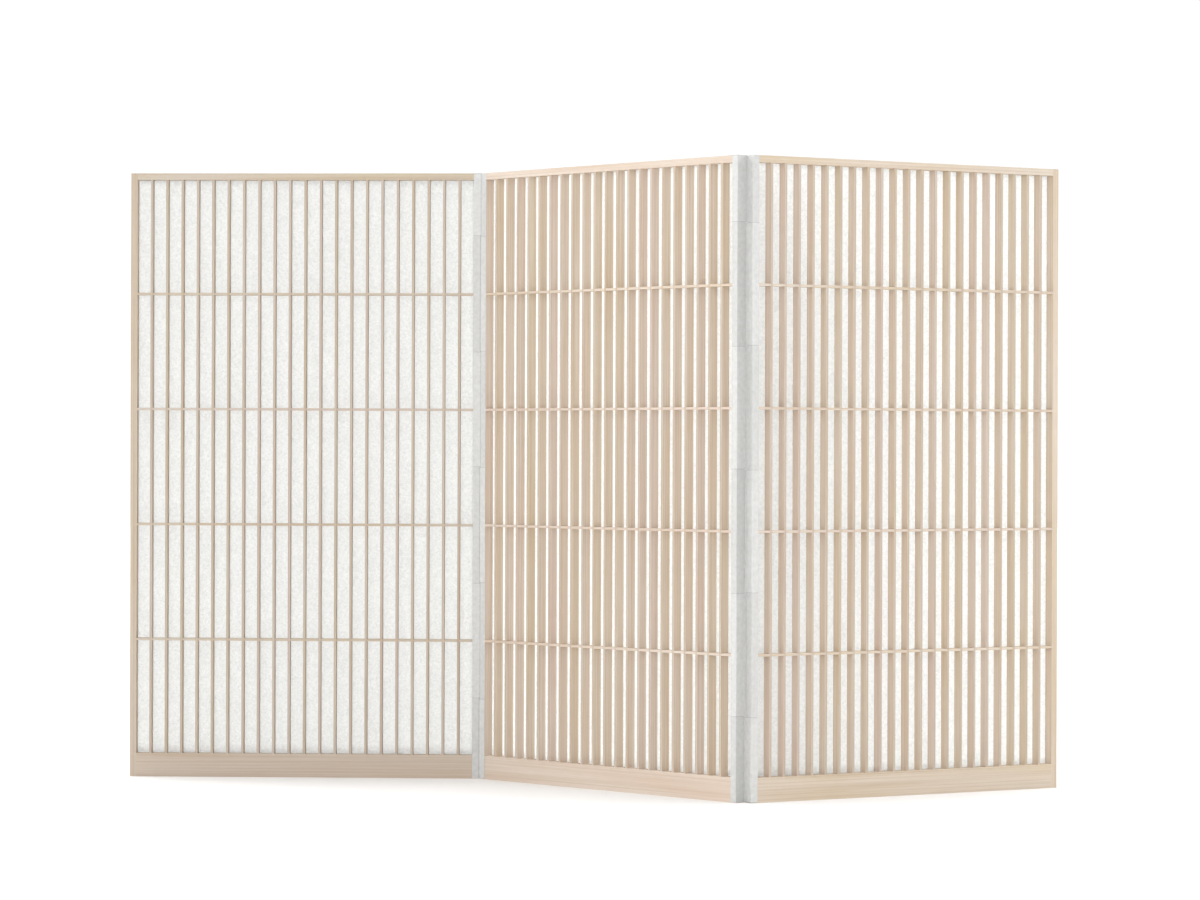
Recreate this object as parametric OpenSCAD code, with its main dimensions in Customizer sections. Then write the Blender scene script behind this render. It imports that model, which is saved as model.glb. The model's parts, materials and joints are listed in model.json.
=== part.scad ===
// Folding shoji screen: three lattice panels with white paper behind them, standing in a zigzag.
// Each panel is a light wooden frame (two stiles, a thin top rail and a tall bottom rail) round a
// grid of thin slats, half-lapped where they cross. Neighbouring panels are joined by a paper
// hinge: six strips that run, turn about, from the front of one panel to the back of the next.
// The frame: front of the screen towards -Y, +Z up, origin on the floor under the middle of the
// whole screen's box as it stands.

/* [Panel] */
// Width of each panel, over its two stiles
panel_w = 900; // [700:10:1100]
// Height of each panel
panel_h = 1550; // [1300:10:1900]
// Thickness of the frame, front to back
panel_t = 28; // [22:1:36]

/* [Frame] */
// Face width of the stiles
stile_w = 17; // [14:1:30]
// Height of the top rail
top_rail_h = 17; // [14:1:40]
// Height of the bottom rail
bottom_rail_h = 60; // [30:1:120]
// Chamfer along the outer edges of the frame
arris = 0.6; // [0.2:0.1:1.5]
// Thickness of the tenons that join rails to stiles
rail_tenon_t = 9; // [6:1:12]
// Length of those tenons
rail_tenon_l = 11; // [6:1:12]
// Wood left above and below each rail tenon
rail_shoulder = 4; // [2:0.5:6]

/* [Lattice] */
// Number of upright slats in a panel
upright_count = 21; // [5:2:31]
// Number of cross slats in a panel
cross_count = 4; // [2:1:4]
// Face width of every slat
slat_w = 6; // [4:0.5:9]
// How far the lattice lies behind the front of the frame
slat_setback = 0.5; // [0:0.1:2]
// Chamfer along the front edges of the slats
slat_arris = 0.4; // [0.1:0.1:1]
// Length of the stub tenons on the slats
slat_tenon_l = 5; // [3:0.5:8]
// Depth of those stub tenons, front to back
slat_tenon_d = 12; // [6:1:16]
// Play at half laps, stub tenons and rail tenons
joint_play = 0.1; // [0.05:0.05:0.3]

/* [Paper] */
// Thickness of the paper sheet
paper_t = 0.4; // [0.2:0.1:1]
// Width of the ledge in the frame that the edge of the sheet is glued to
paper_ledge = 6; // [4:0.5:10]
// Depth of that ledge below the back of the frame
paper_inset = 2; // [1:0.5:5]
// Gap between the edge of the sheet and the side of its ledge
paper_margin = 1; // [0.5:0.5:2]

/* [Paper hinges] */
// Gap between two neighbouring frames
hinge_gap = 3; // [2:0.5:6]
// Distance of the fold line from the faces that close on each other
fold_offset = 1; // [0.9:0.1:2]
// Thickness of the white wrap round a stile at a hinge
wrap_t = 0.3; // [0.2:0.1:0.5]
// Thickness of a hinge strip
strip_t = 0.4; // [0.2:0.1:0.6]
// Thickness of the glue between a strip and the wrap under it
glue_t = 0.1; // [0.05:0.05:0.2]
// Height of the top strip
top_strip_h = 161; // [80:1:250]
// Height of the bottom strip
bottom_strip_h = 205; // [80:1:250]
// Gap between one strip and the next, and between the lowest strip and the floor
strip_gap = 1; // [0.5:0.5:4]

/* [Standing pose] */
// Turn of the centre panel, its right-hand edge coming forwards
centre_turn = 45.4; // [20:0.1:60]
// Fold of the left hinge, measured from a flat screen
left_fold = 42.9; // [10:0.1:100]
// Fold of the right hinge, measured from a flat screen
right_fold = 74.9; // [10:0.1:120]

/* [Hidden] */
strip_count = 6;

WOOD = [0.84, 0.75, 0.64];
SLAT_WOOD = [0.80, 0.68, 0.55];
WASHI = [0.95, 0.95, 0.93];
HINGE_PAPER = [0.88, 0.89, 0.87];
// Length that a cut runs past the faces it goes through
past = 1;

// The opening inside the frame, in a panel's own coordinates: x from its left-hand edge, y from its
// front face backwards, z from the floor
open_x0 = stile_w;
open_x1 = panel_w - stile_w;
open_z0 = bottom_rail_h;
open_z1 = panel_h - top_rail_h;
open_w = open_x1 - open_x0;
open_h = open_z1 - open_z0;
upright_pitch = (open_w + slat_w) / (upright_count + 1);
cross_pitch = (open_h + slat_w) / (cross_count + 1);
function upright_x(i) = open_x0 + i * upright_pitch - slat_w / 2;
function cross_z(row) = open_z1 - row * cross_pitch + slat_w / 2;

slat_back = panel_t - paper_inset;
slat_depth = slat_back - slat_setback;
lap_y = slat_setback + slat_depth / 2;
slat_tenon_y = slat_setback + (slat_depth - slat_tenon_d) / 2;
rail_tenon_y = (panel_t - rail_tenon_t) / 2;

// Where each panel stands: its origin in plan and its heading, the turn of its own x axis about +Z
left_heading = left_fold - centre_turn;
centre_heading = -centre_turn;
right_heading = right_fold - centre_turn;
function turned(p, a) = [p.x * cos(a) - p.y * sin(a), p.x * sin(a) + p.y * cos(a)];

// Each fold line, seen from the panels that it joins. The left hinge folds the fronts together, so
// its line lies in front of them; the right hinge folds the backs together.
front_line_at_right_edge = [panel_w + hinge_gap / 2, -fold_offset];
front_line_at_left_edge = [-hinge_gap / 2, -fold_offset];
back_line_at_right_edge = [panel_w + hinge_gap / 2, panel_t + fold_offset];
back_line_at_left_edge = [-hinge_gap / 2, panel_t + fold_offset];

// The panels' origins in plan while the left fold line is at 0, 0
centre_base = -turned(front_line_at_left_edge, centre_heading);
left_base = -turned(front_line_at_right_edge, left_heading);
right_fold_base = centre_base + turned(back_line_at_right_edge, centre_heading);
right_base = right_fold_base - turned(back_line_at_left_edge, right_heading);

// The screen's box in plan, over the outer corners of each panel. Next to a hinge the wrap and the
// strip stand proud of the wood.
proud = wrap_t + glue_t + strip_t;
chamfer_proud = arris - proud * (sqrt(2) - 1);
function panel_corners(base, heading, left_proud, right_proud) = [
    for (side = [[0, left_proud], [panel_w, -right_proud]])
        for (p = corner_pair(side[0], side[1])) base + turned(p, heading)
];
function corner_pair(x, out) = out == 0
    ? let (inset = x == 0 ? arris : -arris)
        [[x, arris], [x + inset, 0], [x, panel_t - arris], [x + inset, panel_t]]
    : let (away = out > 0 ? 1 : -1)
        [[x - out, chamfer_proud], [x + away * chamfer_proud, -proud],
         [x - out, panel_t - chamfer_proud], [x + away * chamfer_proud, panel_t + proud]];
all_corners = concat(
    panel_corners(left_base, left_heading, 0, proud),
    panel_corners(centre_base, centre_heading, proud, proud),
    panel_corners(right_base, right_heading, proud, 0)
);
plan_x = [for (p = all_corners) p.x];
plan_y = [for (p = all_corners) p.y];
middle = [(min(plan_x) + max(plan_x)) / 2, (min(plan_y) + max(plan_y)) / 2];

left_origin = left_base - middle;
centre_origin = centre_base - middle;
right_origin = right_base - middle;
left_fold_line = -middle;
right_fold_line = right_fold_base - middle;

module place(origin, heading) translate([origin.x, origin.y, 0]) rotate([0, 0, heading]) children();
module in_left() place(left_origin, left_heading) children();
module in_centre() place(centre_origin, centre_heading) children();
module in_right() place(right_origin, right_heading) children();

// A box from its lowest and highest corners
module block(low, high) translate(low) cube(high - low);

// Room for the edge of the paper, cut into the back of the frame round the opening
module paper_recess()
    block([open_x0 - paper_ledge, slat_back, open_z0 - paper_ledge],
          [open_x1 + paper_ledge, panel_t + past, open_z1 + paper_ledge]);

// The two tenons of a rail that lies between two heights; play widens them into mortises
module rail_tenons(z0, z1, play)
    for (x = [open_x0 - rail_tenon_l - play, open_x1 - past])
        block([x, rail_tenon_y - play, z0 + rail_shoulder - play],
              [x + rail_tenon_l + play + past, rail_tenon_y + rail_tenon_t + play,
               z1 - rail_shoulder + play]);

// The stub tenons of upright slat i and of cross slat row, with the same use of play
module upright_tenons(i, play)
    block([upright_x(i) - slat_w / 2 - play, slat_tenon_y - play, open_z0 - slat_tenon_l - play],
          [upright_x(i) + slat_w / 2 + play, slat_tenon_y + slat_tenon_d + play,
           open_z1 + slat_tenon_l + play]);
module cross_tenons(row, play)
    block([open_x0 - slat_tenon_l - play, slat_tenon_y - play, cross_z(row) - slat_w / 2 - play],
          [open_x1 + slat_tenon_l + play, slat_tenon_y + slat_tenon_d + play,
           cross_z(row) + slat_w / 2 + play]);

// Section of a stile, chamfered along its outer edge, front and back
stile_section = [
    [stile_w, 0], [arris, 0], [0, arris], [0, panel_t - arris], [arris, panel_t], [stile_w, panel_t]
];

// A stile whose outer edge faces left; at_right turns it round for the other side
module stile(at_right) color(WOOD) difference() {
    if (at_right) translate([panel_w, 0, 0]) mirror([1, 0, 0])
        linear_extrude(panel_h) polygon(stile_section);
    else
        linear_extrude(panel_h) polygon(stile_section);
    paper_recess();
    rail_tenons(open_z1, panel_h, joint_play);
    rail_tenons(0, open_z0, joint_play);
    for (row = [1:cross_count]) cross_tenons(row, joint_play);
}

// A rail with its tenons, ledge and the mortises of the upright slats
module rail(z0, z1) color(WOOD) difference() {
    union() {
        block([open_x0, 0, z0], [open_x1, panel_t, z1]);
        rail_tenons(z0, z1, 0);
    }
    paper_recess();
    for (i = [1:upright_count]) upright_tenons(i, joint_play);
}
module top_rail() rail(open_z1, panel_h);
module bottom_rail() rail(0, open_z0);

// Section of a slat about the middle of its front edge, chamfered along both front edges
slat_section = [
    [-slat_w / 2, slat_arris], [-slat_w / 2 + slat_arris, 0], [slat_w / 2 - slat_arris, 0],
    [slat_w / 2, slat_arris], [slat_w / 2, slat_depth], [-slat_w / 2, slat_depth]
];

// An upright slat keeps the front half of its depth where a cross slat passes behind it
module upright_slat(i) difference() {
    union() {
        translate([upright_x(i), slat_setback, open_z0]) linear_extrude(open_h) polygon(slat_section);
        upright_tenons(i, 0);
    }
    for (row = [1:cross_count])
        block([upright_x(i) - slat_w, lap_y, cross_z(row) - slat_w / 2 - joint_play],
              [upright_x(i) + slat_w, slat_back + past, cross_z(row) + slat_w / 2 + joint_play]);
}
module upright_slats() color(SLAT_WOOD) for (i = [1:upright_count]) upright_slat(i);

// A cross slat keeps the back half of its depth where an upright passes in front of it. The
// section is laid with its depth along +y and its face width along +z.
module cross_slat(row) color(SLAT_WOOD) difference() {
    union() {
        translate([open_x0, slat_setback, cross_z(row)]) rotate([90, 0, 90])
            linear_extrude(open_w) polygon([for (p = slat_section) [p.y, p.x]]);
        cross_tenons(row, 0);
    }
    for (i = [1:upright_count])
        block([upright_x(i) - slat_w / 2 - joint_play, slat_setback - past, cross_z(row) - slat_w],
              [upright_x(i) + slat_w / 2 + joint_play, lap_y, cross_z(row) + slat_w]);
}

// The sheet behind the lattice, its edges on the ledge in the frame
module paper() color(WASHI)
    block([open_x0 - paper_ledge + paper_margin, slat_back, open_z0 - paper_ledge + paper_margin],
          [open_x1 + paper_ledge - paper_margin, slat_back + paper_t,
           open_z1 + paper_ledge - paper_margin]);

// A line round a hinge stile at a distance d from the wood, in plan: x from the stile's outer edge
// into the panel, y backwards. It has three stretches, on the front, the edge and the back.
function turn_in(d) = arris - d * (sqrt(2) - 1);
function on_front(d) = [[stile_w, -d], [turn_in(d), -d]];
function on_edge(d) = [[-d, turn_in(d)], [-d, panel_t - turn_in(d)]];
function on_back(d) = [[turn_in(d), panel_t + d], [stile_w, panel_t + d]];
function backwards(points) = [for (i = [len(points) - 1:-1:0]) points[i]];

// The same line seen from the panel that the stile belongs to
function at_left_edge(points) = points;
function at_right_edge(points) = [for (p = points) [panel_w - p.x, p.y]];

// The white wrap round a hinge stile: front, edge and back in one piece
wrap_section = concat(on_front(0), on_edge(0), on_back(0),
    backwards(concat(on_front(wrap_t), on_edge(wrap_t), on_back(wrap_t))));
module stile_wrap(at_right) color(HINGE_PAPER)
    translate([0, 0, strip_gap]) linear_extrude(panel_h - strip_gap)
        polygon(at_right ? at_right_edge(wrap_section) : at_left_edge(wrap_section));

// A band of even thickness along a line of points in plan, with mitred corners
function unit(v) = v / norm(v);
function left_of(v) = [-v.y, v.x];
function side_dir(points, i) = let (
    last = len(points) - 1,
    before = unit(points[max(i, 1)] - points[max(i, 1) - 1]),
    after = unit(points[min(i, last - 1) + 1] - points[min(i, last - 1)]),
    mid = unit(left_of(before) + left_of(after))
) mid / (mid * left_of(before));
function band(points, t) = concat(
    [for (i = [0:len(points) - 1]) points[i] + side_dir(points, i) * t / 2],
    backwards([for (i = [0:len(points) - 1]) points[i] - side_dir(points, i) * t / 2])
);

// Heights of strip i, counted from the top
inner_strip_h = (panel_h - top_strip_h - bottom_strip_h) / (strip_count - 2);
function strip_top(i) = i == 1 ? panel_h : panel_h - top_strip_h - (i - 2) * inner_strip_h;
function strip_bottom(i) = i == strip_count ? 0 : strip_top(i + 1);
module strip(line, i) color(HINGE_PAPER)
    translate([0, 0, strip_bottom(i) + strip_gap])
        linear_extrude(strip_top(i) - strip_bottom(i) - strip_gap) polygon(band(line, strip_t));

// The middle of a strip's thickness, over the wrap
strip_d = wrap_t + glue_t + strip_t / 2;
function left_plan(points) = [for (p = points) left_origin + turned(p, left_heading)];
function centre_plan(points) = [for (p = points) centre_origin + turned(p, centre_heading)];
function right_plan(points) = [for (p = points) right_origin + turned(p, right_heading)];

// Left hinge: odd strips run from the left panel's front to the centre panel's back, even strips
// from the left panel's back to the centre panel's front. All cross at the fold line in front.
left_hinge_odd = concat(
    left_plan(at_right_edge(on_front(strip_d))), [left_fold_line],
    centre_plan(concat(on_edge(strip_d), on_back(strip_d)))
);
left_hinge_even = concat(
    left_plan(at_right_edge(backwards(concat(on_edge(strip_d), on_back(strip_d))))), [left_fold_line],
    centre_plan(backwards(on_front(strip_d)))
);
module left_hinge_strip(i) strip(i % 2 == 1 ? left_hinge_odd : left_hinge_even, i);

// Right hinge: the same the other way about, crossing at the fold line behind
right_hinge_odd = concat(
    centre_plan(at_right_edge(concat(on_front(strip_d), on_edge(strip_d)))), [right_fold_line],
    right_plan(on_back(strip_d))
);
right_hinge_even = concat(
    centre_plan(at_right_edge(backwards(on_back(strip_d)))), [right_fold_line],
    right_plan(backwards(concat(on_front(strip_d), on_edge(strip_d))))
);
module right_hinge_strip(i) strip(i % 2 == 1 ? right_hinge_odd : right_hinge_even, i);

in_left() stile(false);  // left_outer_stile
in_left() stile(true);  // left_hinge_stile
in_left() top_rail();  // left_top_rail
in_left() bottom_rail();  // left_bottom_rail
in_left() upright_slats();  // left_upright_slats
for (row = [1:cross_count])
    in_left() cross_slat(row);
in_left() paper();  // left_paper

in_centre() stile(false);  // centre_left_stile
in_centre() stile(true);  // centre_right_stile
in_centre() top_rail();  // centre_top_rail
in_centre() bottom_rail();  // centre_bottom_rail
in_centre() upright_slats();  // centre_upright_slats
for (row = [1:cross_count])
    in_centre() cross_slat(row);
in_centre() paper();  // centre_paper

in_right() stile(false);  // right_hinge_stile
in_right() stile(true);  // right_outer_stile
in_right() top_rail();  // right_top_rail
in_right() bottom_rail();  // right_bottom_rail
in_right() upright_slats();  // right_upright_slats
for (row = [1:cross_count])
    in_right() cross_slat(row);
in_right() paper();  // right_paper

in_left() stile_wrap(true);  // left_stile_wrap
in_centre() stile_wrap(false);  // centre_left_wrap
in_centre() stile_wrap(true);  // centre_right_wrap
in_right() stile_wrap(false);  // right_stile_wrap
for (i = [1:strip_count])
    left_hinge_strip(i);
for (i = [1:strip_count])
    right_hinge_strip(i);
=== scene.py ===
"""Looks of the folding shoji screen: three lattice panels with washi behind them, joined by paper
hinges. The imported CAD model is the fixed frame. Its wooden nodes keep their own meshes and get
procedural materials. The papers (washi sheets, wraps round the hinge stiles and hinge strips) are
modelled here, and stand for their CAD nodes. Every length is in metres."""

import json
import math
import random

import bmesh
import bpy
from mathutils import Matrix, Vector


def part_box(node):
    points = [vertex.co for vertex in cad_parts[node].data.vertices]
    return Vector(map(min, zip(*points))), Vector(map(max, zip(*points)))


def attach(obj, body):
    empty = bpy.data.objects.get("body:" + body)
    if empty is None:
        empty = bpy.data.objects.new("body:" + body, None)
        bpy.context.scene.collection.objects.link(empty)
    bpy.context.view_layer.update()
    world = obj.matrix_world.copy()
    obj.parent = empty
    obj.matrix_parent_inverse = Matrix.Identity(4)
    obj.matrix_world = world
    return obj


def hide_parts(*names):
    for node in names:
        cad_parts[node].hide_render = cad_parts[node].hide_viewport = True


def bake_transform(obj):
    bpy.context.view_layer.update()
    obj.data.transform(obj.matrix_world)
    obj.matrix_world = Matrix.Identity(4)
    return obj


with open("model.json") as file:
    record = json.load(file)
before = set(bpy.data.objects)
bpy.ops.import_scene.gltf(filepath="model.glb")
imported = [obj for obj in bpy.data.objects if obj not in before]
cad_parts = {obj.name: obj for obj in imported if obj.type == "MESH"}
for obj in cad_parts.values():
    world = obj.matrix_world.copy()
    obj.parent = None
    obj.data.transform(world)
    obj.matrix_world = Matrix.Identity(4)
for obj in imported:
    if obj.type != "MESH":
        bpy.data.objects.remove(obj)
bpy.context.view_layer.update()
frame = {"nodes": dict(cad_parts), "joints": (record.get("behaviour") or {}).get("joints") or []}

MM = 0.001
PANELS = ("left", "centre", "right")
CROSS_SLATS = 4
UPRIGHT_SLATS = 21
HINGE_STRIPS = 6

# Sizes on a hinge stile, as in the CAD source
ARRIS = 0.6 * MM
WRAP_T = 0.3 * MM
GLUE_T = 0.1 * MM
STRIP_T = 0.4 * MM


# ---------------------------------------------------------------------------------------------
# Where each panel stands, read from the CAD nodes
# ---------------------------------------------------------------------------------------------

STILES = {
    "left": ("left_outer_stile", "left_hinge_stile"),
    "centre": ("centre_left_stile", "centre_right_stile"),
    "right": ("right_hinge_stile", "right_outer_stile"),
}


class Panel:
    """A panel's own coordinates: u along it from its left edge, d backwards from its front face,
    and z up from the floor."""

    def __init__(self, name):
        self.name = name
        self.body = name + "_panel"
        self.heading = self._heading()
        self.along = Vector((math.cos(self.heading), math.sin(self.heading), 0))
        self.back = Vector((-math.sin(self.heading), math.cos(self.heading), 0))
        self.origin = Vector((0, 0, 0))
        low = self.node_box(STILES[name][0])[0]
        self.origin = self.along * low.x + self.back * low.y
        self._read_sizes()

    def _heading(self):
        faces = frame["nodes"][self.name + "_paper"].data.polygons
        fronts = [f for f in faces if f.normal.y < -0.5]
        normal = max(fronts, key=lambda f: f.area).normal
        return math.atan2(normal.x, -normal.y)

    def _read_sizes(self):
        first, second = (self.node_box(stile) for stile in STILES[self.name])
        self.width = second[1].x
        self.depth = first[1].y
        self.open_u = (first[1].x, second[0].x)
        self.paper = self.node_box(self.name + "_paper")
        rows = [self.node_box(f"{self.name}_cross_slat_{i + 1}") for i in range(CROSS_SLATS)]
        self.slat_w = rows[0][1].z - rows[0][0].z
        self.cross_z = [(low.z + high.z) / 2 for low, high in rows]
        opening = self.open_u[1] - self.open_u[0]
        self.pitch = (opening + self.slat_w) / (UPRIGHT_SLATS + 1)
        first_slat = self.open_u[0] - self.slat_w / 2
        self.upright_u = [first_slat + (i + 1) * self.pitch for i in range(UPRIGHT_SLATS)]

    def local(self, point):
        """A point of the row frame in the panel's own coordinates."""
        p = Vector(point) - self.origin
        return Vector((p.dot(self.along), p.dot(self.back), p.z))

    def at(self, u, d, z=0.0):
        """A point of the panel in the row frame."""
        return self.origin + self.along * u + self.back * d + Vector((0, 0, z))

    def node_box(self, node):
        """Lowest and highest corner of a CAD node in the panel's own coordinates."""
        points = [self.local(v.co) for v in frame["nodes"][node].data.vertices]
        low = Vector([min(p[i] for p in points) for i in range(3)])
        high = Vector([max(p[i] for p in points) for i in range(3)])
        return low, high


# ---------------------------------------------------------------------------------------------
# Materials
# ---------------------------------------------------------------------------------------------


class Shader:
    """A material's node tree, with short ways to add nodes. Inputs are sockets or plain values."""

    def __init__(self, name):
        self.material = bpy.data.materials.new(name)
        self.material.use_nodes = True
        self.tree = self.material.node_tree
        self.tree.nodes.clear()

    def node(self, kind, inputs=None, **settings):
        made = self.tree.nodes.new(kind)
        for key, value in settings.items():
            setattr(made, key, value)
        for key, value in (inputs or {}).items():
            self.feed(made.inputs[key], value)
        return made

    def feed(self, socket, value):
        if isinstance(value, bpy.types.NodeSocket):
            self.tree.links.new(value, socket)
        else:
            socket.default_value = value

    def math(self, operation, *values, clamp=False):
        made = self.node("ShaderNodeMath", operation=operation, use_clamp=clamp)
        for socket, value in zip(made.inputs, values):
            self.feed(socket, value)
        return made.outputs[0]

    def combine(self, x, y, z):
        return self.node("ShaderNodeCombineXYZ", {"X": x, "Y": y, "Z": z}).outputs[0]

    def noise(self, vector, scale, detail=2.0, roughness=0.5):
        inputs = {"Vector": vector, "Scale": scale, "Detail": detail, "Roughness": roughness}
        return self.node("ShaderNodeTexNoise", inputs).outputs["Fac"]

    def stretched(self, vector, x, y, z):
        """The vector with each coordinate multiplied."""
        made = self.node("ShaderNodeVectorMath", operation="MULTIPLY")
        self.feed(made.inputs[0], vector)
        made.inputs[1].default_value = (x, y, z)
        return made.outputs[0]

    def ramp(self, factor, stops):
        """A grey for each factor, from stops of (factor, grey)."""
        made = self.node("ShaderNodeValToRGB", {"Fac": factor})
        elements = made.color_ramp.elements
        while len(elements) < len(stops):
            elements.new(1.0)
        for element, (position, grey) in zip(elements, stops):
            element.position = position
            element.color = (grey, grey, grey, 1)
        return made.outputs["Color"]

    def mix(self, factor, first, second, blend="MIX"):
        made = self.node("ShaderNodeMix", data_type="RGBA", blend_type=blend)
        self.feed(made.inputs["Factor"], factor)
        self.feed(made.inputs["A"], first)
        self.feed(made.inputs["B"], second)
        return made.outputs["Result"]

    def panel_point(self, panel):
        """The shaded point in the panel's own coordinates, which move with the panel."""
        turn = Matrix.Rotation(-panel.heading, 3, "Z")
        mapping = self.node("ShaderNodeMapping", vector_type="POINT")
        mapping.inputs["Location"].default_value = -(turn @ panel.origin)
        mapping.inputs["Rotation"].default_value = (0, 0, -panel.heading)
        coordinates = self.node("ShaderNodeTexCoord")
        self.feed(mapping.inputs["Vector"], coordinates.outputs["Object"])
        return mapping.outputs[0]

    def surface(self, colour, roughness, specular, relief, strength, depth):
        """A surface with a little gloss, and a relief as bumps of a given strength and depth."""
        bump = self.node("ShaderNodeBump", {"Strength": strength, "Distance": depth, "Height": relief})
        inputs = {"Base Color": colour, "Roughness": roughness, "Normal": bump.outputs[0]}
        made = self.node("ShaderNodeBsdfPrincipled", inputs)
        made.inputs["Specular IOR Level"].default_value = specular
        return made.outputs[0]

    def output(self, surface):
        made = self.node("ShaderNodeOutputMaterial")
        self.feed(made.inputs["Surface"], surface)
        return self.material


def linear(red, green, blue):
    """A colour given as 0 to 255 on screen, as Blender's linear colour."""

    def channel(value):
        value /= 255
        return value / 12.92 if value <= 0.04045 else ((value + 0.055) / 1.055) ** 2.4

    return (channel(red), channel(green), channel(blue), 1.0)


EARLY_WOOD = linear(221, 213, 203)
OCHRE_WOOD = linear(213, 199, 174)
PINK_WOOD = linear(216, 199, 189)
LATE_WOOD = linear(177, 148, 118)

# Factors on the wood's colour, fitted to the brightness of each panel in the photo: for all of a
# panel's wood, and on top of that for the fronts of its upright slats. They stand in for light
# that the lights below don't give. The real panels may well be of one and the same timber.
PANEL_TONE = {"left": 0.85, "centre": 1.0, "right": 0.97}
FRONT_TONE = {"left": 0.95, "centre": 0.82, "right": 0.84}
FRONT_DEPTH = 0.6 * MM

# How far apart in the timber the pieces of a panel are cut, in metres, and the upright slats of a
# panel (twice across the fibres, then along them), and how many slat numbers each seed sets aside
CUT_SPREAD = 40
SLAT_SPREAD = (0.7, 0.9, 30.0)
SLAT_NUMBERS = 50.0

# Noise patterns in the wood, in cells per metre across the fibres (twice) and along them
SWAY_STRETCH = (6, 6, 1.6)
STREAK_STRETCH = (260, 260, 1.3)
FIBRE_STRETCH = (1500, 1500, 22)
CLOUD_STRETCH = (25, 25, 2.2)

# Growth rings: their spacing, how much they lean with depth, how far they sway, how uneven they
# are, how dark each one is from one side to the other, and how strongly they and streaks show
RING_SPACING = 2.3 * MM
RING_LEAN = 0.45
RING_SWAY = 0.03
UNEVEN_SCALE = 90.0
UNEVEN_TURNS = 2.5
RING_PROFILE = [(0.0, 0.0), (0.62, 0.25), (0.86, 1), (1, 0)]
RING_SHARE = 0.3
STREAK_SHARE = 0.5

WOOD_ROUGHNESS = 0.62
ROUGHNESS_RANGE = 0.12
WOOD_GLOSS = 0.3
WOOD_BUMP = 0.25
WOOD_BUMP_DEPTH = 0.05 * MM
FIBRE_RELIEF = 0.6
RING_RELIEF = 0.4


def wood_material(name, panel, grain, seed, counted=False):
    """Pale straight-grained wood. grain is "z" or "u", the way the fibres run. With counted, each
    upright slat is its own stick, cut from another part of the timber."""
    draw = random.Random(seed)
    shader = Shader(name)
    u, d, z = shader.node("ShaderNodeSeparateXYZ", {"Vector": shader.panel_point(panel)}).outputs
    place = (u, d, z) if grain == "z" else (z, d, u)
    cut = [draw.uniform(0, CUT_SPREAD) for _ in range(3)]
    tone = draw.random()
    shade = PANEL_TONE[panel.name]
    if counted:
        shade = shade_fronts(shader, panel, d, shade)
        place, tone = own_stick(shader, panel, seed, place)
    stick_point = shader.combine(*(shader.math("ADD", axis, by) for axis, by in zip(place, cut)))
    return finish_wood(shader, stick_point, tone, shade)


def shade_fronts(shader, panel, d, shade):
    """A panel's shade, and another one on the fronts of its upright slats."""
    is_front = shader.math("LESS_THAN", d, FRONT_DEPTH)
    drop = shade * (FRONT_TONE[panel.name] - 1)
    return shader.math("MULTIPLY_ADD", is_front, drop, shade)


def own_stick(shader, panel, seed, place):
    """Moves each upright slat to its own place in the timber, and gives it its own tone."""
    start = panel.open_u[0] - panel.slat_w / 2
    slat = shader.math("DIVIDE", shader.math("SUBTRACT", place[0], start), panel.pitch)
    number = shader.math("ADD", shader.math("ROUND", slat), seed * SLAT_NUMBERS)
    chance = shader.node("ShaderNodeTexWhiteNoise", {"W": number}, noise_dimensions="1D")
    shares = shader.node("ShaderNodeSeparateXYZ", {"Vector": chance.outputs["Color"]}).outputs
    moved = [shader.math("MULTIPLY_ADD", share, spread, axis)
             for share, spread, axis in zip(shares, SLAT_SPREAD, place)]
    return moved, chance.outputs["Value"]


def ring_pattern(shader, point):
    """How dark the growth rings are at a point of the wood, from 0 to 1."""
    sway = shader.noise(shader.stretched(point, *SWAY_STRETCH), 1.0, 1.0)
    axes = shader.node("ShaderNodeSeparateXYZ", {"Vector": point}).outputs
    radius = shader.math("MULTIPLY_ADD", axes[1], RING_LEAN, axes[0])
    radius = shader.math("MULTIPLY_ADD", sway, RING_SWAY, radius)
    uneven = shader.noise(shader.combine(radius, 0.0, 0.0), UNEVEN_SCALE, 2.0)
    turns = shader.math("DIVIDE", radius, RING_SPACING)
    turns = shader.math("MULTIPLY_ADD", uneven, UNEVEN_TURNS, turns)
    return shader.ramp(shader.math("FRACT", turns), RING_PROFILE)


def finish_wood(shader, point, tone, shade):
    """Wood over a point whose first two coordinates lie across the fibres and third along them."""
    ring = ring_pattern(shader, point)
    streaks = shader.noise(shader.stretched(point, *STREAK_STRETCH), 1.0, 3.0, 0.6)
    streaks = shader.ramp(streaks, [(0.35, 0.0), (0.75, 1.0)])
    fibres = shader.noise(shader.stretched(point, *FIBRE_STRETCH), 1.0, 2.0, 0.6)
    clouds = shader.noise(shader.stretched(point, *CLOUD_STRETCH), 1.0, 2.0)

    colour = shader.mix(tone, OCHRE_WOOD, PINK_WOOD)
    colour = shader.mix(shader.ramp(clouds, [(0.3, 0.0), (0.7, 0.8)]), colour, EARLY_WOOD)
    colour = shader.mix(shader.math("MULTIPLY", ring, RING_SHARE), colour, LATE_WOOD)
    colour = shader.mix(shader.math("MULTIPLY", streaks, STREAK_SHARE), colour, LATE_WOOD)
    colour = shader.mix(shader.ramp(fibres, [(0.45, 0.0), (0.9, 0.3)]), colour, LATE_WOOD)
    colour = shader.mix(1.0, colour, shader.combine(shade, shade, shade), "MULTIPLY")

    relief = shader.math("MULTIPLY", ring, RING_RELIEF)
    relief = shader.math("MULTIPLY_ADD", fibres, FIBRE_RELIEF, relief)
    smoothest = WOOD_ROUGHNESS - ROUGHNESS_RANGE / 2
    roughness = shader.math("MULTIPLY_ADD", fibres, ROUGHNESS_RANGE, smoothest)
    return shader.output(
        shader.surface(colour, roughness, WOOD_GLOSS, relief, WOOD_BUMP, WOOD_BUMP_DEPTH))


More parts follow.
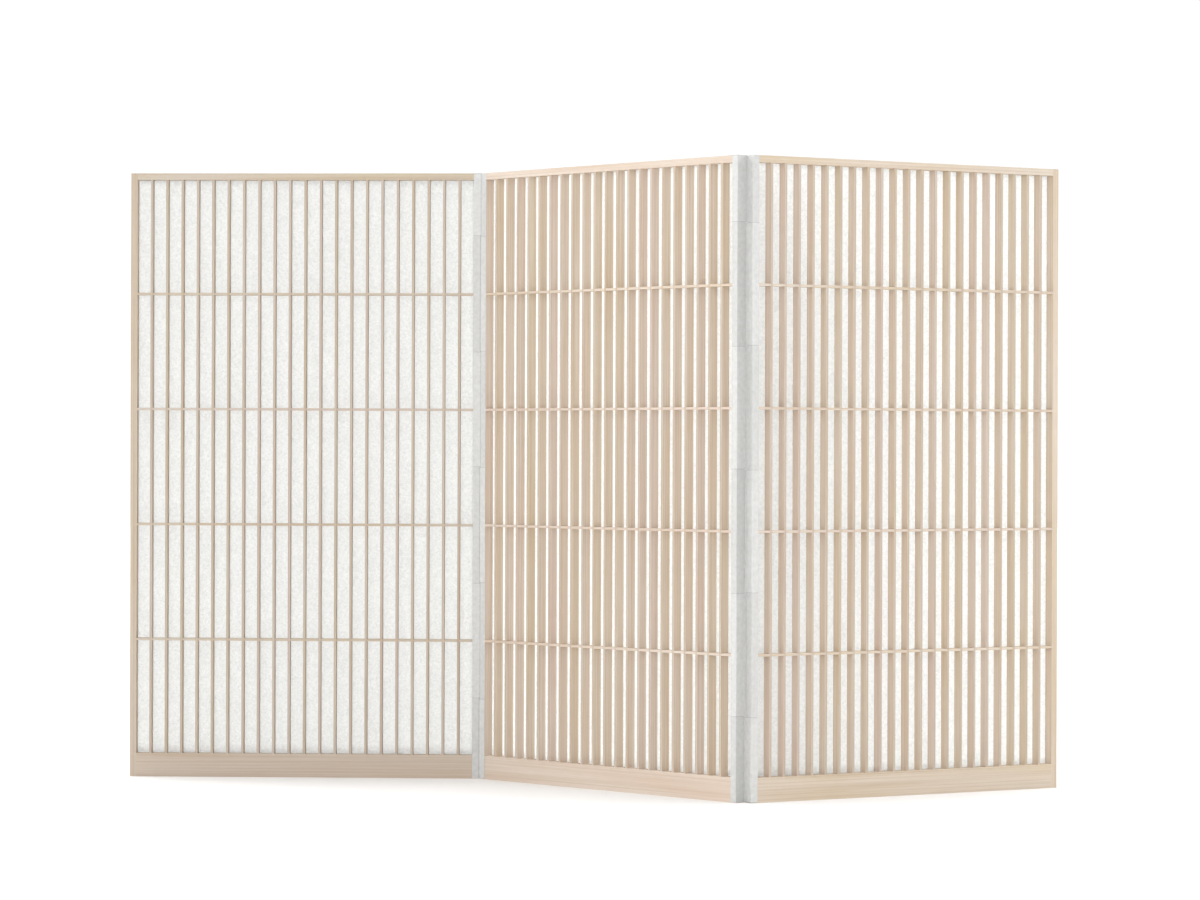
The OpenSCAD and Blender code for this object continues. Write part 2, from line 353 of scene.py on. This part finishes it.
WASHI_LIGHT = linear(252, 252, 251)
WASHI_DARK = linear(220, 221, 220)
WASHI_SEEN_THROUGH = 0.8

# Factors on each panel's washi colour, fitted to the brightness of each panel in the photo, like the
# factors on the wood: painted light and shade that stand in for light that the lights don't give
WASHI_TONE = {"left": 0.89, "centre": 1.0, "right": 0.97}

# Clouds of fibres, and long fibres along the edges of cells that wander
WASHI_CLOUD_SCALE = 210.0
FIBRE_CELL_SCALE = 110.0
FIBRE_SHARE = 0.25
WANDER_SCALE = 45.0
WANDER_REACH = 0.02
WASHI_ROUGHNESS = 0.9
WASHI_GLOSS = 0.1
WASHI_BUMP = 0.3
WASHI_BUMP_DEPTH = 0.1 * MM


def washi_material(panel):
    """Thin washi: clouds of fibres, long ones here and there, and light that comes through."""
    shader = Shader(panel.name + "_washi")
    point = shader.panel_point(panel)
    inputs = {"Vector": point, "Scale": WANDER_SCALE, "Detail": 2.0}
    wander = shader.node("ShaderNodeTexNoise", inputs)
    bent = shader.node("ShaderNodeVectorMath", operation="MULTIPLY_ADD")
    shader.feed(bent.inputs[0], wander.outputs["Color"])
    bent.inputs[1].default_value = (WANDER_REACH, WANDER_REACH, WANDER_REACH)
    shader.feed(bent.inputs[2], point)
    clouds = shader.noise(point, WASHI_CLOUD_SCALE, 4.0, 0.7)
    inputs = {"Vector": bent.outputs[0], "Scale": FIBRE_CELL_SCALE}
    cells = shader.node("ShaderNodeTexVoronoi", inputs)
    cells.feature = "DISTANCE_TO_EDGE"
    fibres = shader.ramp(cells.outputs["Distance"], [(0.0, 1.0), (0.05, 0.0)])
    share = shader.math("MULTIPLY", fibres, FIBRE_SHARE)
    share = shader.math("ADD", share, shader.ramp(clouds, [(0.3, 0.0), (0.75, 0.8)]), clamp=True)
    colour = shader.mix(share, WASHI_LIGHT, WASHI_DARK)
    # Painted light and shade: the panel's fitted factor on the paper's colour
    tone = WASHI_TONE[panel.name]
    colour = shader.mix(1.0, colour, (tone, tone, tone, 1), "MULTIPLY")
    front = shader.surface(
        colour, WASHI_ROUGHNESS, WASHI_GLOSS, clouds, WASHI_BUMP, WASHI_BUMP_DEPTH)
    through = shader.node("ShaderNodeBsdfTranslucent", {"Color": colour})
    both = shader.node("ShaderNodeMixShader", {"Fac": WASHI_SEEN_THROUGH})
    shader.feed(both.inputs[1], front)
    shader.feed(both.inputs[2], through.outputs[0])
    return shader.output(both.outputs[0])


HINGE_LIGHT = linear(213, 213, 211)
HINGE_DARK = linear(199, 199, 197)
HINGE_CLOUD_SCALE = 90.0
HINGE_GRAIN_STRETCH = (900, 900, 400)
HINGE_ROUGHNESS = 0.75
HINGE_GLOSS = 0.25
HINGE_BUMP = 0.3
HINGE_BUMP_DEPTH = 0.08 * MM

# How light the wraps are against the lightest strip, and how much the strips differ at most
WRAP_TONE = 0.93
STRIP_TONE_SPREAD = 0.03

# Painted shade: the fine dark lines that the photo shows at the ends of a strip and in its fold are
# shadows, painted on as darker paper
STRIP_END_SHADE_REACH = 1.4 * MM
STRIP_END_SHADE_TONE = 0.74
CREASE_SHADE_HALF_WIDTH = 0.9 * MM
CREASE_SHADE_TONE = 0.84


def hinge_material(name, panel, tone, ends=None, crease=None):
    """White hinge paper, finer and greyer than the washi. It has painted shade along its cut ends,
    given as two heights, and in its crease, given as a point in plan in the panel's coordinates."""
    shader = Shader(name)
    point = shader.panel_point(panel)
    u, d, z = shader.node("ShaderNodeSeparateXYZ", {"Vector": point}).outputs
    clouds = shader.noise(point, HINGE_CLOUD_SCALE, 3.0, 0.6)
    grain = shader.noise(shader.stretched(point, *HINGE_GRAIN_STRETCH), 1.0, 2.0)
    colour = shader.mix(shader.ramp(clouds, [(0.3, 0.0), (0.7, 1.0)]), HINGE_LIGHT, HINGE_DARK)
    colour = shader.mix(shader.ramp(grain, [(0.4, 0.0), (0.8, 0.3)]), colour, HINGE_DARK)
    # Painted shade along the strip's ends and in its fold
    if ends:
        tone = painted_end_shade(shader, z, ends, tone)
    if crease:
        tone = painted_crease_shade(shader, u, d, crease, tone)
    colour = shader.mix(1.0, colour, shader.combine(tone, tone, tone), "MULTIPLY")
    return shader.output(
        shader.surface(colour, HINGE_ROUGHNESS, HINGE_GLOSS, grain, HINGE_BUMP, HINGE_BUMP_DEPTH))


def painted_end_shade(shader, z, ends, tone):
    """The tone, and a darker one close to either of two heights: painted shadow at a strip's ends."""
    middle = (ends[0] + ends[1]) / 2
    reach = (ends[1] - ends[0]) / 2 - STRIP_END_SHADE_REACH
    from_middle = shader.math("ABSOLUTE", shader.math("SUBTRACT", z, middle))
    # Painted shadow within reach of either end of the strip
    cut = shader.math("GREATER_THAN", from_middle, reach)
    return shader.math("MULTIPLY_ADD", cut, (STRIP_END_SHADE_TONE - 1) * tone, tone)


def painted_crease_shade(shader, u, d, crease, tone):
    """The tone, and a darker one close to a point in plan: painted shade in a crease."""
    across = shader.math("SUBTRACT", u, crease.x)
    deep = shader.math("SUBTRACT", d, crease.y)
    squares = [shader.math("MULTIPLY", side, side) for side in (across, deep)]
    away = shader.math("SQRT", shader.math("ADD", *squares))
    folded = shader.math("LESS_THAN", away, CREASE_SHADE_HALF_WIDTH)
    darker = shader.math("MULTIPLY_ADD", folded, CREASE_SHADE_TONE - 1, 1.0)
    return shader.math("MULTIPLY", tone, darker)


def paint(node, material):
    """Gives a CAD node its material, in every slot that it has."""
    for slot in frame["nodes"][node].material_slots:
        slot.material = material


PANEL_SEED_STEP = 100
UPRIGHTS_SEED = 9


def paint_panel_wood(panel, seed):
    """Each stick of wood in a panel gets its own cut of grain."""
    name = panel.name
    sticks = [(stile, "z") for stile in STILES[name]]
    sticks += [(name + rail, "u") for rail in ("_top_rail", "_bottom_rail")]
    sticks += [(f"{name}_cross_slat_{i + 1}", "u") for i in range(CROSS_SLATS)]
    for i, (stick, grain) in enumerate(sticks):
        paint(stick, wood_material(stick, panel, grain, seed + i))
    uprights = name + "_upright_slats"
    paint(uprights, wood_material(uprights, panel, "z", seed + UPRIGHTS_SEED, counted=True))


# ---------------------------------------------------------------------------------------------
# Pieces
# ---------------------------------------------------------------------------------------------


def add_object(name, bm, material):
    """A new object from a bmesh, with its normals outwards."""
    bmesh.ops.recalc_face_normals(bm, faces=bm.faces)
    mesh = bpy.data.meshes.new(name)
    bm.to_mesh(mesh)
    bm.free()
    mesh.materials.append(material)
    made = bpy.data.objects.new(name, mesh)
    bpy.context.scene.collection.objects.link(made)
    return made


# How far a washi sheet lies off the slats, how thick it is, how far it swells between them, and
# how many faces it has across and up each gap
SHEET_CLEAR = 0.02 * MM
SHEET_T = 0.3 * MM
PILLOW = 0.35 * MM
CELL_STEPS = 4
ROW_STEPS = 10


def stations(edges, steps):
    """Numbers from the first edge to the last, with the same number of steps between edges."""
    found = []
    for low, high in zip(edges, edges[1:]):
        found += [low + (high - low) * i / steps for i in range(steps)]
    return found + [edges[-1]]


def slack(value, edges):
    """0 at an edge and 1 half way between two edges."""
    for low, high in zip(edges, edges[1:]):
        if low <= value <= high:
            return math.sin(math.pi * (value - low) / (high - low))
    return 0.0


def washi_sheet(panel):
    """The sheet behind a lattice, glued to the backs of the slats and a little slack in between."""
    low, high = panel.paper
    lines_u = [low.x, *panel.upright_u, high.x]
    lines_z = [low.z, *sorted(panel.cross_z), high.z]
    us = stations(lines_u, CELL_STEPS)
    zs = stations(lines_z, ROW_STEPS)
    bm = bmesh.new()

    def layer(offset):
        rows = []
        for z in zs:
            row = []
            for u in us:
                bulge = PILLOW * slack(u, lines_u) * slack(z, lines_z)
                row.append(bm.verts.new(panel.at(u, low.y + SHEET_CLEAR + offset + bulge, z)))
            rows.append(row)
        return rows

    front, back = layer(0.0), layer(SHEET_T)
    for rows in (front, back):
        for lower, upper in zip(rows, rows[1:]):
            for i in range(len(us) - 1):
                bm.faces.new((lower[i], lower[i + 1], upper[i + 1], upper[i]))
    close_sides(bm, front, back)
    made = add_object(panel.name + "_washi_sheet", bm, washi_material(panel))
    for face in made.data.polygons:
        face.use_smooth = True
    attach(made, panel.body)
    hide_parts(panel.name + "_paper")


def close_sides(bm, front, back):
    """Joins the rims of two grids of vertices."""
    rims = []
    for grid in (front, back):
        rims.append(grid[0][:-1] + [row[-1] for row in grid[:-1]]
                    + grid[-1][:0:-1] + [row[0] for row in grid[:0:-1]])
    count = len(rims[0])
    for i in range(count):
        j = (i + 1) % count
        bm.faces.new((rims[0][i], rims[0][j], rims[1][j], rims[1][i]))


# The two panels that each hinge joins, the wraps that its strips lie on, and the side of the
# screen that its fold line is on
HINGES = {
    "left": {
        "panels": ("left", "centre"),
        "wraps": ["left_stile_wrap_paper", "centre_left_wrap_paper"],
        "fold_side": "front",
    },
    "right": {
        "panels": ("centre", "right"),
        "wraps": ["centre_right_wrap_paper", "right_stile_wrap_paper"],
        "fold_side": "back",
    },
}
OTHER_FACE = {"front": "back", "back": "front"}

# The panel of each wrap, and whether the wrap is at its right edge
WRAPPED_EDGES = {
    "left_stile_wrap": ("left", True),
    "centre_left_wrap": ("centre", False),
    "centre_right_wrap": ("centre", True),
    "right_stile_wrap": ("right", False),
}

# How far from a corner a bend in a paper starts, and the most of a side that it may take up
BEND_REACH = 0.6 * MM
BEND_SHARE = 0.45
BEND_STEPS = 5

# How tall a row of faces in a paper band is
BAND_ROW = 12.0 * MM


class StileLine:
    """Points in plan on a line round a hinge stile, a distance off the wood. The stile is at the
    panel's right or left edge."""

    def __init__(self, panel, at_right, off):
        self.panel = panel
        self.at_right = at_right
        self.off = off
        self.turn = ARRIS - off * (math.sqrt(2) - 1)
        self.stile_w = panel.open_u[0]

    def _place(self, inwards, d):
        u = self.panel.width - inwards if self.at_right else inwards
        return self.panel.at(u, d)

    def on_face(self, face):
        """From the inner end of the stile's face to its corner."""
        d = -self.off if face == "front" else self.panel.depth + self.off
        return [self._place(self.stile_w, d), self._place(self.turn, d)]

    def on_edge(self, start):
        """Down the outer edge, from the front corner or from the back one."""
        run = [self._place(-self.off, self.turn)]
        run.append(self._place(-self.off, self.panel.depth - self.turn))
        return run if start == "front" else run[::-1]

    def to_fold(self, face, fold_side):
        """From the inner end of a face to the corner nearest the fold line."""
        if face == fold_side:
            return self.on_face(face)
        return self.on_face(face) + self.on_edge(face)


def rounded(points):
    """A line of points with its corners turned into short curves."""
    line = [points[0]]
    for before, corner, after in zip(points, points[1:], points[2:]):
        shortest = min((before - corner).length, (after - corner).length)
        reach = min(BEND_REACH, shortest * BEND_SHARE)
        start = corner + (before - corner).normalized() * reach
        end = corner + (after - corner).normalized() * reach
        for i in range(BEND_STEPS + 1):
            t = i / BEND_STEPS
            line.append(start.lerp(corner, t).lerp(corner.lerp(end, t), t))
    return line + [points[-1]]


def sideways(line, i):
    """The direction across a line in plan at one of its points, long enough for a mitre."""
    before = (line[max(i, 1)] - line[max(i, 1) - 1]).normalized()
    last = len(line) - 2
    after = (line[min(i, last) + 1] - line[min(i, last)]).normalized()
    across = Vector((-before.y, before.x, 0)) + Vector((-after.y, after.x, 0))
    across.normalize()
    return across / across.dot(Vector((-before.y, before.x, 0)))


def paper_band(line, thickness, low, high):
    """A band of paper of even thickness that follows a line in plan between two heights, and the
    length of that line."""
    line = rounded(line)
    across = [sideways(line, i) * thickness / 2 for i in range(len(line))]
    levels = max(2, round((high - low) / BAND_ROW) + 1)
    bm = bmesh.new()
    rings = []
    for level in range(levels):
        rise = Vector((0, 0, low + (high - low) * level / (levels - 1)))
        inner = [bm.verts.new(p + rise - a) for p, a in zip(line, across)]
        outer = [bm.verts.new(p + rise + a) for p, a in zip(line, across)]
        rings.append(inner + outer[::-1])
    count = len(rings[0])
    for lower, upper in zip(rings, rings[1:]):
        for i in range(count):
            j = (i + 1) % count
            bm.faces.new((lower[i], lower[j], upper[j], upper[i]))
    for ring in (rings[0], rings[-1]):
        for i in range(count // 2 - 1):
            bm.faces.new((ring[i], ring[i + 1], ring[count - 2 - i], ring[count - 1 - i]))
    length = sum((b - a).length for a, b in zip(line, line[1:]))
    return bm, length


def hinge_wrap(node, panel, at_right):
    """The white paper glued round a hinge stile, under the strips."""
    stile = StileLine(panel, at_right, WRAP_T / 2)
    line = stile.on_face("front") + stile.on_edge("front") + stile.on_face("back")[::-1]
    low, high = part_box(node)
    bm, length = paper_band(line, WRAP_T, low.z, high.z)
    made = add_object(node + "_paper", bm, hinge_material(node, panel, WRAP_TONE))
    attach(made, panel.body)
    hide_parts(node)


def hinge_strip(hinge, number, joined, fold_line):
    """Strip number 1 is at the top. Odd strips run from the front of the first panel to the back
    of the second, and even strips from the back of the first to the front of the second."""
    first, second = joined
    face = "front" if number % 2 else "back"
    fold_side = HINGES[hinge]["fold_side"]
    off = WRAP_T + GLUE_T + STRIP_T / 2
    run_in = StileLine(first, True, off).to_fold(face, fold_side)
    run_out = StileLine(second, False, off).to_fold(OTHER_FACE[face], fold_side)[::-1]
    node = f"{hinge}_hinge_strip_{number}"
    low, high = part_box(node)
    bm, length = paper_band(run_in + [fold_line] + run_out, STRIP_T, low.z, high.z)
    tone = 1.0 - STRIP_TONE_SPREAD * random.Random(node).random()
    paper = hinge_material(node, first, tone, (low.z, high.z), first.local(fold_line))
    made = add_object(node + "_paper", bm, paper)
    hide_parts(node)
    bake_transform(made)


def add_hinge(name, panels):
    """The six strips of a hinge, from the top down."""
    first, second = (panels[side] for side in HINGES[name]["panels"])
    joint = next(j for j in frame["joints"] if j["name"] == name + "_fold")
    fold_line = Vector((joint["pos_m"][0], joint["pos_m"][1], 0))
    for number in range(1, HINGE_STRIPS + 1):
        hinge_strip(name, number, (first, second), fold_line)


# ---------------------------------------------------------------------------------------------
# Camera, light and floor
# ---------------------------------------------------------------------------------------------

CAMERA_PLACE = (0.030, -9.366, 0.851)
CAMERA_LENS = 113.12
CAMERA_SENSOR = 36.0
CAMERA_PITCH = -0.05
CAMERA_ROLL = 0.183
CAMERA_SIGHT = 100.0

# Strength of the light from all round, and how bright the camera sees the background
WORLD_LIGHT = 0.25
BACKDROP = 1.05

# Width of each light's disc in degrees, then name, azimuth, elevation and strength of the lights
LIGHT_SPREAD = 50
SOFT_LIGHTS = (
    ("front_light", -16, 22, 0.37),
    ("left_light", -100, 22, 0.4),
    ("right_light", 100, 22, 0.5),
    ("back_left_light", -135, 22, 0.55),
    ("back_right_light", 135, 22, 0.4),
    ("top_light", 0, 90, 0.65),
)

# Half the floor's width, and how white it is for the light that it throws and for the camera
FLOOR_REACH = 30.0
FLOOR_WHITE = 0.9
FLOOR_SEEN = 0.84
FLOOR_ROUGHNESS = 0.8


def add_camera():
    data = bpy.data.cameras.new("camera")
    data.lens = CAMERA_LENS
    data.sensor_width = CAMERA_SENSOR
    data.clip_end = CAMERA_SIGHT
    camera = bpy.data.objects.new("camera", data)
    bpy.context.scene.collection.objects.link(camera)
    look = Matrix.Rotation(math.radians(90 + CAMERA_PITCH), 4, "X")
    roll = Matrix.Rotation(math.radians(CAMERA_ROLL), 4, "Z")
    camera.matrix_world = Matrix.Translation(CAMERA_PLACE) @ look @ roll
    bpy.context.scene.camera = camera


def add_soft_light(name, azimuth, elevation, strength):
    """A very soft light from far away. Azimuth 0 is in front of the screen and 90 on its right."""
    data = bpy.data.lights.new(name, "SUN")
    data.energy = strength * math.pi
    data.angle = math.radians(LIGHT_SPREAD)
    light = bpy.data.objects.new(name, data)
    bpy.context.scene.collection.objects.link(light)
    turn, rise = math.radians(azimuth), math.radians(elevation)
    level = math.cos(rise)
    away = Vector((math.sin(turn) * level, -math.cos(turn) * level, math.sin(rise)))
    light.rotation_mode = "QUATERNION"
    light.rotation_quaternion = away.to_track_quat("Z", "Y")


def add_world():
    """Even light from all round, and plain white where the camera looks past the floor."""
    world = bpy.data.worlds.new("studio")
    world.use_nodes = True
    tree = world.node_tree
    sky = tree.nodes["Background"]
    sky.inputs["Color"].default_value = (1, 1, 1, 1)
    seen = tree.nodes.new("ShaderNodeLightPath").outputs["Is Camera Ray"]
    strength = tree.nodes.new("ShaderNodeMapRange")
    strength.inputs["To Min"].default_value = WORLD_LIGHT
    strength.inputs["To Max"].default_value = BACKDROP
    tree.links.new(seen, strength.inputs["Value"])
    tree.links.new(strength.outputs["Result"], sky.inputs["Strength"])
    bpy.context.scene.world = world


def add_floor():
    """A plain white floor. What the camera sees of it is less white than what lights the screen, so
    that the soft shadow along the foot isn't lost in the glare."""
    bm = bmesh.new()
    sides = ((-1, -1), (1, -1), (1, 1), (-1, 1))
    bm.faces.new([bm.verts.new((x * FLOOR_REACH, y * FLOOR_REACH, 0)) for x, y in sides])
    shader = Shader("floor_white")
    seen = shader.node("ShaderNodeLightPath").outputs["Is Camera Ray"]
    grey = shader.math("MULTIPLY_ADD", seen, FLOOR_SEEN - FLOOR_WHITE, FLOOR_WHITE)
    inputs = {"Base Color": shader.combine(grey, grey, grey), "Roughness": FLOOR_ROUGHNESS}
    white = shader.node("ShaderNodeBsdfPrincipled", inputs)
    floor = add_object("floor", bm, shader.output(white.outputs[0]))


add_camera()
add_floor()
add_world()
for name, azimuth, elevation, strength in SOFT_LIGHTS:
    add_soft_light(name, azimuth, elevation, strength)
bpy.context.scene.view_settings.view_transform = "Standard"

panels = {name: Panel(name) for name in PANELS}
for number, panel in enumerate(panels.values()):
    paint_panel_wood(panel, PANEL_SEED_STEP * number)
    washi_sheet(panel)
for node, (side, at_right) in WRAPPED_EDGES.items():
    hinge_wrap(node, panels[side], at_right)
for name in HINGES:
    add_hinge(name, panels)

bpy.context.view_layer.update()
